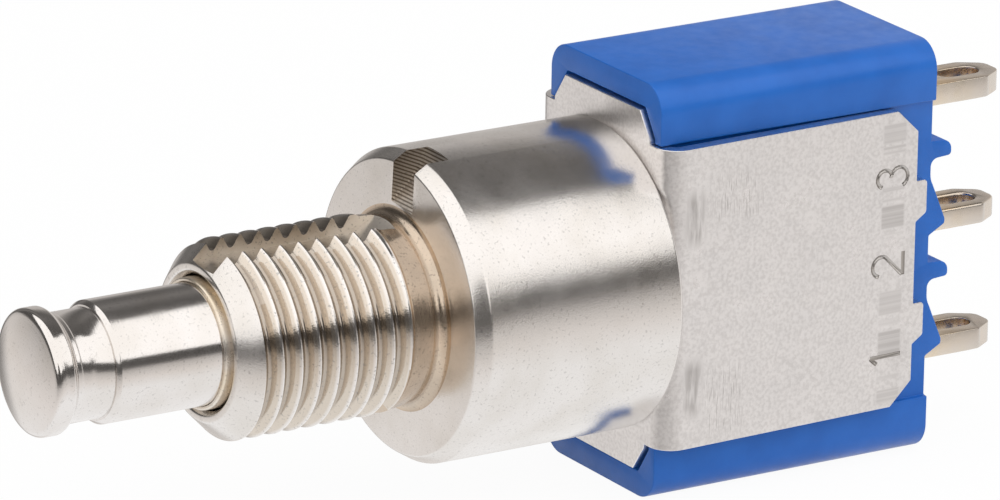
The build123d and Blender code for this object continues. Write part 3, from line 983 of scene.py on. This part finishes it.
# %% Blunt the ramps and round the case
ramp_tips_z = (0.68, -3.73)
blunt_y = 20.32
case = copy_of("case", "moulded_case")
wear(case, blue)
edit(case)
bpy.ops.mesh.select_mode(type="VERT")
mesh = bmesh.from_edit_mesh(case.data)
for vertex in mesh.verts:
    spot = vertex.co / mm
    vertex.select = spot.y > blunt_y and any(abs(spot.z - tip_z) < 0.5 for tip_z in ramp_tips_z)
mesh.select_flush(True)
bmesh.update_edit_mesh(case.data)
print("ramp tips blunted:", sum(vertex.select for vertex in mesh.verts), "points")
bpy.ops.transform.resize(value=(1, 0.35, 1), center_override=(0, blunt_y * mm, 0))
done()
round_edges(case, 0.09, 3, 35)
tidy_shell(case)
smooth(case, 32)
place(case, "housing", "blue_plastic", "case")

# %% [markdown]
# ## Gold plate and sealing compound
# The gold on the terminals is thin and goes grey towards their ends, where they are handled. The amber
# compound in the slots lets a little light in, which subsurface scattering stands for.


# %% Gold plate
def gold_plate(name, fresh, old):
    material, nodes, links, shader = new_material(name)
    point = object_point(nodes)
    shader.inputs["Metallic"].default_value = 1.0
    worn = spread(nodes, links, noise(nodes, links, point, 0.9, 4.0), 0.40, 0.62, 0.0, 1.0)
    parts = xyz(nodes, links, point)
    tip = spread(nodes, links, parts["Y"], 21.6 * mm, 23.8 * mm, 0.0, 0.75)
    colour = mixed(nodes, links, tip, mixed(nodes, links, worn, fresh, old), (0.60, 0.56, 0.53))
    links.new(colour, shader.inputs["Base Color"])
    rough = spread(nodes, links, noise(nodes, links, point, 0.4, 3.0), 0.3, 0.7, 0.18, 0.30)
    links.new(rough, shader.inputs["Roughness"])
    bumps(nodes, links, shader, (noise(nodes, links, point, 0.25, 2.0), 0.004))
    return material


gold = gold_plate("gold_plate", (0.86, 0.64, 0.40), (0.82, 0.68, 0.50))
pale_gold = gold_plate("pale_gold", (0.80, 0.72, 0.62), (0.80, 0.70, 0.56))
print("gold finishes:", gold.name, pale_gold.name)


# %% Amber compound
def amber_compound():
    material, nodes, links, shader = new_material("amber_compound")
    point = object_point(nodes)
    cloud = spread(nodes, links, noise(nodes, links, point, 0.6, 4.0), 0.35, 0.65, 0.0, 1.0)
    colour = mixed(nodes, links, cloud, (0.42, 0.22, 0.08), (0.62, 0.40, 0.18))
    links.new(colour, shader.inputs["Base Color"])
    shader.inputs["Roughness"].default_value = 0.18
    shader.inputs["Subsurface Weight"].default_value = 0.15
    shader.inputs["Subsurface Scale"].default_value = 0.4 * mm
    bumps(nodes, links, shader, (noise(nodes, links, point, 0.5, 2.0), 0.02))
    return material


compound = amber_compound()
print("compound:", compound.name)

# %% [markdown]
# ## Terminals and their seals
# The terminals are stamped from thick strip and plated. A stamping has rounded edges on its punch side,
# so their copies are rounded more than the frame. Their cut sides are paler than their broad faces, and
# the sides are found by the way they face.


# %% Choose faces
def choose_faces(piece, wanted):
    """In edit mode, select the faces for which wanted(centre in mm, normal) is true."""
    mesh = bmesh.from_edit_mesh(piece.data)
    for face in mesh.faces:
        face.select = bool(wanted(face.calc_center_median() / mm, face.normal))
    bmesh.update_edit_mesh(piece.data)
    return sum(face.select for face in mesh.faces)


# %% Finish the terminals and seals
blade_half = 0.8
blade_tip = 24.2
for number in (1, 2, 3):
    terminal = copy_of(f"terminal_{number}", f"gold_terminal_{number}")
    wear(terminal, gold, pale_gold)
    round_edges(terminal, 0.12, 3, 40)
    tidy_shell(terminal)
    edit(terminal)
    sides = choose_faces(
        terminal, lambda c, n: abs(n.z) < 0.6 and (abs(c.x) > blade_half or c.y > blade_tip)
    )
    terminal.active_material_index = 1
    bpy.ops.object.material_slot_assign()
    done()
    smooth(terminal, 40)
    print("pale sides:", sides, "faces")
    place(terminal, "housing", "gold_plate", f"terminal_{number}")

    seal = copy_of(f"seal_{number}", f"compound_seal_{number}")
    wear(seal, compound)
    round_edges(seal, 0.10, 3, 40)
    tidy_shell(seal)
    smooth(seal, 45)
    place(seal, "housing", "epoxy", f"seal_{number}")

# %% [markdown]
# ## Pieces inside
# The spring plate, the lever and the contacts stay out of sight in the closed case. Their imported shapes
# are kept and only get their finishes.


# %% Finishes for the mechanism
def plain(name, colour, metallic, rough, size):
    material, nodes, links, shader = new_material(name)
    point = object_point(nodes)
    shader.inputs["Metallic"].default_value = metallic
    shade = noise(nodes, links, point, size, 4.0)
    darker = tuple(c * 0.82 for c in colour)
    links.new(mixed(nodes, links, shade, colour, darker), shader.inputs["Base Color"])
    links.new(spread(nodes, links, shade, 0.3, 0.7, rough, rough + 0.12), shader.inputs["Roughness"])
    bumps(nodes, links, shader, (noise(nodes, links, point, 0.06, 2.0), 0.002))
    return material


wire = plain("drawn_wire", (0.56, 0.56, 0.56), 1.0, 0.22, 0.4)
acetal = plain("white_acetal", (0.82, 0.80, 0.75), 0.0, 0.40, 1.2)
silver = plain("contact_silver", (0.88, 0.87, 0.84), 1.0, 0.18, 0.5)
inside = {
    "tip": (wire, "spring_steel"),
    "drive_pin": (wire, "spring_steel"),
    "lever_axle": (wire, "spring_steel"),
    "spring_plate": (sheet_metal, "bare_steel"),
    "yoke": (acetal, "white_plastic"),
    "lever": (acetal, "white_plastic"),
    "rocker": (gold, "gold_plate"),
    "fixed_contact_1": (silver, "silver"),
    "fixed_contact_3": (silver, "silver"),
    "moving_contact_1": (silver, "silver"),
    "moving_contact_3": (silver, "silver"),
}
for node, (material, slot) in inside.items():
    piece = frame["nodes"][node]
    wear(piece, material)
print("finished inside:", len(inside), "nodes")

# %% [markdown]
# ## Springs
# A coil spring shortens when its button is pressed. Here each packed coil is only copied, smoothed,
# dressed in wire and set to ride on its body, with a mesh of its own.


# %% Two coils
def springy(node, name, body):
    """A copy of a coil, smoothed and dressed in wire, that rides on its body with a mesh of its own."""
    coil = copy_of(node, name)
    smooth(coil, 60)
    wear(coil, wire)
    place(coil, body, "spring_steel", node)
    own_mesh(coil)


springy("return_spring", "return_coil", "housing")
springy("tip_spring", "tip_coil", "lever")

# %% [markdown]
# ## Studio
# Metal shows its surroundings, so these matter as much as the pieces. The world holds a whole room in
# its directions: a white floor that darkens towards the walls, and one large soft box high above the
# switch, whose edges the round pieces show as bands. Three lamps light what is not shiny, the camera
# sees plain white behind the switch, and the floor keeps its shadow.

# %% Directions in the room
world = bpy.data.worlds.new("studio")
bpy.context.scene.world = world
world.use_nodes = True
nodes, links = world.node_tree.nodes, world.node_tree.links
way = nodes.new("ShaderNodeTexCoord").outputs["Generated"]
east, north, rise = xyz(nodes, links, way)
left = math_node(nodes, links, "MAXIMUM", math_node(nodes, links, "MULTIPLY", east, -1), 0.0)


def weighted(first, second, third, *shares):
    """first * a + second * b + third * c + d, for directions in the room."""
    total = math_node(nodes, links, "MULTIPLY", first, shares[0])
    total = math_node(nodes, links, "ADD", total, math_node(nodes, links, "MULTIPLY", second, shares[1]))
    total = math_node(nodes, links, "ADD", total, math_node(nodes, links, "MULTIPLY", third, shares[2]))
    return math_node(nodes, links, "ADD", total, shares[3])


def shades(value, low, high, stops):
    """A ramp of greys, a little warm, from pairs of (value, light)."""
    ramp = nodes.new("ShaderNodeValToRGB")
    links.new(spread(nodes, links, value, low, high, 0.0, 1.0), ramp.inputs["Fac"])
    elements = ramp.color_ramp.elements
    while len(elements) < len(stops):
        elements.new(0.5)
    for element, (place_at, light) in zip(elements, stops):
        element.position = (place_at - low) / (high - low)
        warm = (light, light * 0.955, light * 0.92, 1) if light < 0.9 else (light, light, light, 1)
        element.color = warm
    return ramp.outputs["Color"]


print("world:", world.name)


# %% [markdown]
# ## The soft box
# The box covers all directions above one edge and in front of another. Its lower edge climbs towards the
# terminals and to the far left, bows up at one place and steps up in front of the plunger. A lamp could
# stand for it, but directions keep its edges sharp, and round metal shows an edge as a clear band.

# %% Edges of the soft box
bow_north = 0.462
step_north = -0.53
off_bow = math_node(nodes, links, "ABSOLUTE", math_node(nodes, links, "SUBTRACT", north, bow_north))
bowed = spread(nodes, links, off_bow, 0.0, 0.042, 1.0, 0.0)
off_step = math_node(nodes, links, "ABSOLUTE", math_node(nodes, links, "SUBTRACT", north, step_north))
front_step = spread(nodes, links, off_step, 0.06, 0.30, 0.28, 0.0)
front_step = math_node(nodes, links, "MULTIPLY", front_step, spread(nodes, links, east, 0.1, 0.5, 0.0, 1.0))
over_edge = weighted(rise, north, left, 1.0, -0.172, -0.70, -0.208)
over_edge = weighted(over_edge, bowed, front_step, 1.0, -0.17, -1.0, 0.0)
top_limit = math_node(
    nodes,
    links,
    "MINIMUM",
    spread(nodes, links, north, -0.20, 0.35, -1.3, 0.23),
    weighted(north, east, rise, -1.49, 0.0, 0.0, 0.905),
)
before_top = math_node(nodes, links, "SUBTRACT", east, top_limit)
facing = weighted(east, north, rise, 0.682, -0.731, 0.0, 0.0)
box_low = spread(nodes, links, over_edge, -0.01, 0.012, 0.0, 1.0)
box_high = spread(nodes, links, before_top, -0.02, 0.02, 0.0, 1.0)
box_left = spread(nodes, links, facing, -0.36, -0.30, 0.0, 1.0)
box = math_node(nodes, links, "MULTIPLY", math_node(nodes, links, "MULTIPLY", box_low, box_high), box_left)
print("soft box: lower, upper and left edge set")

# %% [markdown]
# ## The room's walls
# On the near side the white floor ends in a dark wall. On the far side a grey wall stands between floor
# and dark ceiling, so that the top of the case shows an even grey. A ramp of greys holds each of them.

# %% Near wall and far wall
over_floor = weighted(rise, north, left, 1.0, -0.172, -0.18, -0.208)
over_floor = weighted(over_floor, bowed, rise, 1.0, -0.10, 0.0, 0.0)
near_side = shades(
    over_floor,
    -1.2,
    1.2,
    ((-1.2, 1.0), (-0.88, 1.0), (-0.60, 0.86), (-0.43, 0.68), (-0.33, 0.55), (-0.27, 0.20), (-0.22, 0.11))
    + ((-0.05, 0.09), (0.30, 0.10), (0.60, 0.12), (1.2, 0.16)),
)
far_height = weighted(rise, north, left, 1.0, -1.5, 0.0, 0.756)
far_side = shades(
    far_height,
    -1.0,
    1.0,
    ((-1.0, 1.0), (-0.6, 1.0), (-0.3, 0.80), (0.0, 0.56), (0.13, 0.56), (0.31, 0.58), (0.47, 0.28))
    + ((0.66, 0.13), (0.85, 0.15), (1.0, 0.20)),
)
near_share = spread(nodes, links, facing, -0.60, -0.42, 0.0, 1.0)
room = mixed(nodes, links, near_share, far_side, near_side)
studio = mixed(nodes, links, box, room, (1.28, 1.26, 1.24))
print("room: near wall, far wall and soft box in one colour")

# %% [markdown]
# ## What each ray sees
# A shiny surface and glass look into the room, the camera sees white, and all other light comes evenly
# from everywhere, so that a colour renders about as it is written. Light Path tells the rays apart.

# %% Share out the world's light
plain_light = nodes["Background"]
plain_light.inputs["Color"].default_value = (1.0, 0.99, 0.985, 1)
plain_light.inputs["Strength"].default_value = 0.55
seen = nodes.new("ShaderNodeBackground")
seen.inputs["Strength"].default_value = 1.0
path = nodes.new("ShaderNodeLightPath")
backdrop = mixed(nodes, links, path.outputs["Is Camera Ray"], studio, (1.0, 1.0, 1.0))
links.new(backdrop, seen.inputs["Color"])
glossy, through = path.outputs["Is Glossy Ray"], path.outputs["Is Transmission Ray"]
shiny = math_node(nodes, links, "MAXIMUM", glossy, through)
direct = math_node(nodes, links, "MAXIMUM", path.outputs["Is Camera Ray"], shiny)
choice = nodes.new("ShaderNodeMixShader")
links.new(direct, choice.inputs["Fac"])
links.new(plain_light.outputs[0], choice.inputs[1])
links.new(seen.outputs[0], choice.inputs[2])
links.new(choice.outputs[0], nodes["World Output"].inputs["Surface"])
print("world light:", plain_light.inputs["Strength"].default_value)

# %% [markdown]
# ## Lamps and floor
# Three lamps give the dull surfaces their light and shade, and shiny ones don't show them, because the
# world already holds the soft box. The floor is a plane just under the switch that the camera sees as
# nearly white, and that still takes its shadow.

# %% Three lamps
lamp_distance = 0.30
for name, way, energy in (
    ("soft_box_right", (0.544, 0.504, 0.671), 0.34),
    ("soft_box_front", (0.35, -0.72, 0.60), 0.20),
    ("soft_box_top", (-0.10, 0.20, 0.97), 0.30),
):
    towards = Vector(way).normalized()
    turn = towards.to_track_quat("Z", "Y").to_euler()
    bpy.ops.object.light_add(type="AREA", location=towards * lamp_distance, rotation=turn)
    lamp = named(name)
    lamp.data.shape = "RECTANGLE"
    lamp.data.size = 0.32
    lamp.data.size_y = 0.28
    lamp.data.energy = energy
    lamp.visible_glossy = False
    print(name, energy, "W")

# %% Floor
floor_gap = 0.02
whiteness = 0.95
bpy.ops.mesh.primitive_plane_add(size=6, location=(0, 0, cad_low.z - floor_gap * mm))
floor = named("floor")
floor.visible_glossy = False
material, nodes, links, shader = new_material("white_floor")
shader.inputs["Base Color"].default_value = (0.90, 0.90, 0.90, 1)
shader.inputs["Roughness"].default_value = 0.9
shader.inputs["Specular IOR Level"].default_value = 0.0
white = nodes.new("ShaderNodeEmission")
choice = nodes.new("ShaderNodeMixShader")
path = nodes.new("ShaderNodeLightPath")
share = math_node(nodes, links, "MULTIPLY", path.outputs["Is Camera Ray"], whiteness)
links.new(share, choice.inputs["Fac"])
links.new(shader.outputs[0], choice.inputs[1])
links.new(white.outputs[0], choice.inputs[2])
links.new(choice.outputs[0], nodes["Material Output"].inputs["Surface"])
wear(floor, material)
floor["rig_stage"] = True
print("floor", floor_gap, "mm under the switch")

# %% [markdown]
# ## Camera
# A long lens from the plunger's side, a little above. Azimuth, elevation and roll say which way it
# looks, and the aim is the point that lands in the middle of the view.

# %% Camera
azimuth = math.radians(58.02)
elevation = math.radians(17.94)
roll = math.radians(0.89)
distance = 281.32 * mm
turn = (
    Matrix.Rotation(azimuth, 3, "Z")
    @ Matrix.Rotation(math.pi / 2 - elevation, 3, "X")
    @ Matrix.Rotation(roll, 3, "Z")
)
aim = turn @ Vector((3.549 * mm, 1.969 * mm, 0))
bpy.ops.object.camera_add(location=aim + turn @ Vector((0, 0, distance)), rotation=turn.to_euler())
camera = named("camera")
camera.data.lens = 296.1
camera.data.sensor_width = 36
camera.data.clip_start = 0.01
camera.data.clip_end = 20
bpy.context.scene.camera = camera
bpy.context.scene.view_settings.view_transform = "Standard"
print("camera at", [round(c / mm, 1) for c in camera.location], "mm")

# %% [markdown]
# ## The finished box
# The box round the finished pieces is measured once more and written beside the box of the imported part,
# to show that nothing has grown.

# %% Measure and finish
made_low, made_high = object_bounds()
grown = [round((b - a) / mm, 3) for a, b in zip(cad_low, made_low)]
print("box against the part, mm:", grown, [round((b - a) / mm, 3) for a, b in zip(cad_high, made_high)])
